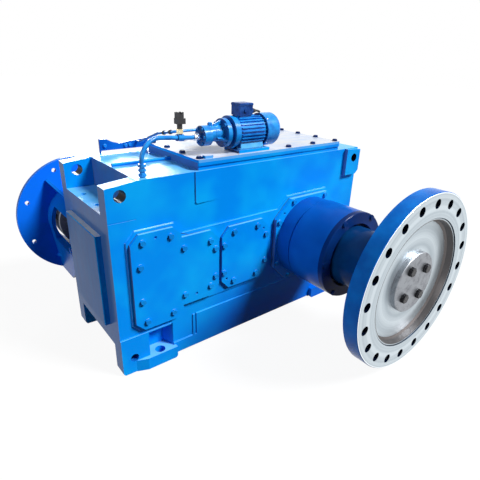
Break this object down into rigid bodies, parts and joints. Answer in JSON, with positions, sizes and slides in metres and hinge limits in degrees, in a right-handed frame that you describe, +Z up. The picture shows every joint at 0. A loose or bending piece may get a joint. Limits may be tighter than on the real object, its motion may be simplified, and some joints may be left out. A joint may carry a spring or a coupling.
{
  "type": "parallel-shaft helical gear unit",
  "caption": "Welded parallel-shaft helical speed reducer with motor lantern, shaft covers, output sleeve, large coupling flange and a motor-driven lubrication set.",
  "frame": {"origin": "centre of the four foundation bolts, on the plane that the feet stand on", "axes": "+X along the housing towards the output shaft end, +Y to the rear where the motor lantern is, +Z up; the output shaft points along -Y"},
  "size_m": [1.643, 1.685, 1.134],
  "materials": {
    "azure_enamel": "gloss azure machine enamel",
    "motor_enamel": "gloss lighter azure enamel",
    "navy_bolts": null,
    "machined_steel": "turned",
    "bearing_steel": "ground",
    "black_bolts": "blackened steel",
    "cast_iron": "machined",
    "brass": "turned",
    "black_plastic": "matt",
    "seal_rubber": "matt"
  },
  "bodies": {
    "housing_body": {"housing": "azure_enamel", "input_end_cover": "azure_enamel", "inspection_cover": "azure_enamel", "front_keyhole_cover": "azure_enamel", "front_middle_cover": "azure_enamel", "output_cover": "azure_enamel", "rear_keyhole_cover": "azure_enamel", "rear_middle_cover": "azure_enamel", "rear_output_cover": "azure_enamel", "side_cover_bolts": "azure_enamel", "inspection_cover_bolts": "navy_bolts", "bearing_outer_rings": "bearing_steel", "bearing_rollers": "bearing_steel", "output_sleeve": "azure_enamel", "sleeve_end_ring": "azure_enamel", "sleeve_end_bolts": "azure_enamel", "output_seal": "seal_rubber", "input_lantern": "azure_enamel", "lantern_bolts": "azure_enamel", "input_seal": "seal_rubber", "motor_bracket": "azure_enamel", "lube_motor_body": "motor_enamel", "lube_motor_end_shields": "motor_enamel", "fan_cowl": "motor_enamel", "terminal_box": "motor_enamel", "terminal_lid": "motor_enamel", "pump_bell_housing": "motor_enamel", "lube_set_bolts": "azure_enamel", "pump_body": "motor_enamel", "pump_cover": "motor_enamel", "pressure_pipe": "azure_enamel", "pipe_fittings": "azure_enamel", "switch_hexagon": "brass", "pressure_switch": "black_plastic", "suction_pipe": "azure_enamel", "pipe_rail": "azure_enamel", "sensor_line": "azure_enamel"},
    "output": {"output_shaft": "machined_steel", "output_wheel": "machined_steel", "output_spacer": "machined_steel", "output_bearing_inner_rings": "bearing_steel", "output_flange": "machined_steel", "output_end_plate": "machined_steel", "end_plate_bolts": "black_bolts"},
    "third": {"third_pinion_shaft": "machined_steel", "second_stage_wheel": "machined_steel", "third_bearing_inner_rings": "bearing_steel"},
    "second": {"second_pinion_shaft": "machined_steel", "first_stage_wheel": "machined_steel", "second_bearing_inner_rings": "bearing_steel"},
    "input": {"input_pinion_shaft": "machined_steel", "input_bearing_inner_rings": "bearing_steel", "coupling_hub": "cast_iron", "coupling_buffers": "seal_rubber", "input_key": "machined_steel"},
    "lube_rotor": {"lube_motor_rotor": "machined_steel", "lube_motor_fan": "black_plastic", "pump_coupling": "machined_steel", "pump_drive_gear": "machined_steel"},
    "pump_idler": {"pump_idler_gear": "machined_steel"}
  },
  "joints": [
    {"name": "output_spin", "type": "hinge", "parent": "housing_body", "child": "output", "pos_m": [0.357, 0, 0.44], "axis": [0, 1, 0], "continuous": true},
    {"name": "third_spin", "type": "hinge", "parent": "housing_body", "child": "third", "pos_m": [-0.063, 0, 0.44], "axis": [0, 1, 0], "continuous": true},
    {"name": "second_spin", "type": "hinge", "parent": "housing_body", "child": "second", "pos_m": [-0.343, 0, 0.44], "axis": [0, 1, 0], "continuous": true},
    {"name": "input_spin", "type": "hinge", "parent": "housing_body", "child": "input", "pos_m": [-0.533, 0, 0.44], "axis": [0, 1, 0], "continuous": true},
    {"name": "lube_motor_spin", "type": "hinge", "parent": "housing_body", "child": "lube_rotor", "pos_m": [0, -0.195, 1.01], "axis": [1, 0, 0], "continuous": true},
    {"name": "pump_idler_spin", "type": "hinge", "parent": "housing_body", "child": "pump_idler", "pos_m": [-0.227, -0.195, 0.984], "axis": [1, 0, 0], "continuous": true}
  ],
  "couplings": [
    {"joint": "third_spin", "follows": "output_spin", "ratio": -3.875},
    {"joint": "second_spin", "follows": "output_spin", "ratio": 14.983},
    {"joint": "input_spin", "follows": "output_spin", "ratio": -49.112},
    {"joint": "pump_idler_spin", "follows": "lube_motor_spin", "ratio": -1}
  ]
}
